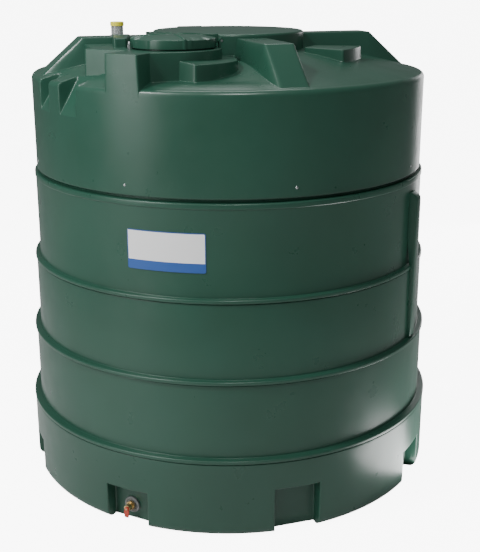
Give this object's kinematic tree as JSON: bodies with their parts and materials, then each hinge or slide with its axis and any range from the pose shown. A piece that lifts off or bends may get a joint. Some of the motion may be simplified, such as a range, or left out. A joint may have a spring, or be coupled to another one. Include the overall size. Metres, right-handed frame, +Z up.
{
  "type": "vertical storage tank",
  "caption": "Round vertical bunded oil storage tank, moulded green, with a ribbed domed roof, a hinged filling hatch and an outlet valve in the foot.",
  "frame": {"origin": "on the ground at the tank's upright axis", "axes": "+Z up along the tank's axis; -Y towards the front rib and front lift slot; +X to the right"},
  "size_m": [2.4536, 2.4536, 2.644],
  "materials": {
    "moulded_green": "satin moulded polyethylene, fine texture",
    "clear_plastic": "clear, glossy",
    "yellow_plastic": "satin",
    "white_plate": "satin white with a blue lower strip",
    "bare_steel": "zinc-plated",
    "grey_plastic": "satin",
    "brass": "machined",
    "red_plastic": "satin"
  },
  "bodies": {
    "tank": {"base_front": "moulded_green", "base_front_left": "moulded_green", "base_front_right": "moulded_green", "base_left": "moulded_green", "base_rear": "moulded_green", "base_rear_left": "moulded_green", "base_rear_right": "moulded_green", "base_right": "moulded_green", "bund_floor": "moulded_green", "cover_wall_front_left": "moulded_green", "cover_wall_front_right": "moulded_green", "cover_wall_rear_left": "moulded_green", "cover_wall_rear_right": "moulded_green", "front_plate": "white_plate", "gauge_cap": "yellow_plastic", "gauge_tube": "clear_plastic", "hatch_coaming": "moulded_green", "hatch_plinth": "moulded_green", "hinge_bracket_front": "moulded_green", "hinge_bracket_rear": "moulded_green", "hinge_pin": "bare_steel", "lock_bar": "moulded_green", "lock_staple": "bare_steel", "outlet_collar": "grey_plastic", "outlet_nut": "brass", "rib_front": "moulded_green", "rib_left": "moulded_green", "rib_rear": "moulded_green", "rib_right": "moulded_green", "roof_front_left": "moulded_green", "roof_front_right": "moulded_green", "roof_rear_left": "moulded_green", "roof_rear_right": "moulded_green", "roof_turret": "moulded_green", "shoulder_left": "moulded_green", "step_hatch": "moulded_green", "step_roof": "moulded_green", "valve_body": "brass", "wall_channel": "moulded_green", "wall_front": "moulded_green", "wall_front_left": "moulded_green", "wall_front_right": "moulded_green", "wall_left": "moulded_green", "wall_rear": "moulded_green", "wall_rear_left": "moulded_green", "wall_rear_right": "moulded_green", "wall_right": "moulded_green"},
    "lid": {"hatch_lid": "moulded_green"},
    "lever": {"valve_lever": "red_plastic"}
  },
  "joints": [
    {"name": "lid_hinge", "type": "hinge", "parent": "tank", "child": "lid", "pos_m": [-0.2095, -0.503, 2.566], "axis": [0, 1, 0], "range_deg": [0, 100]},
    {"name": "lever_pivot", "type": "hinge", "parent": "tank", "child": "lever", "pos_m": [-0.86189, -0.84492, 0.083], "axis": [0.7071, 0.7071, 0], "range_deg": [0, 90]}
  ]
}
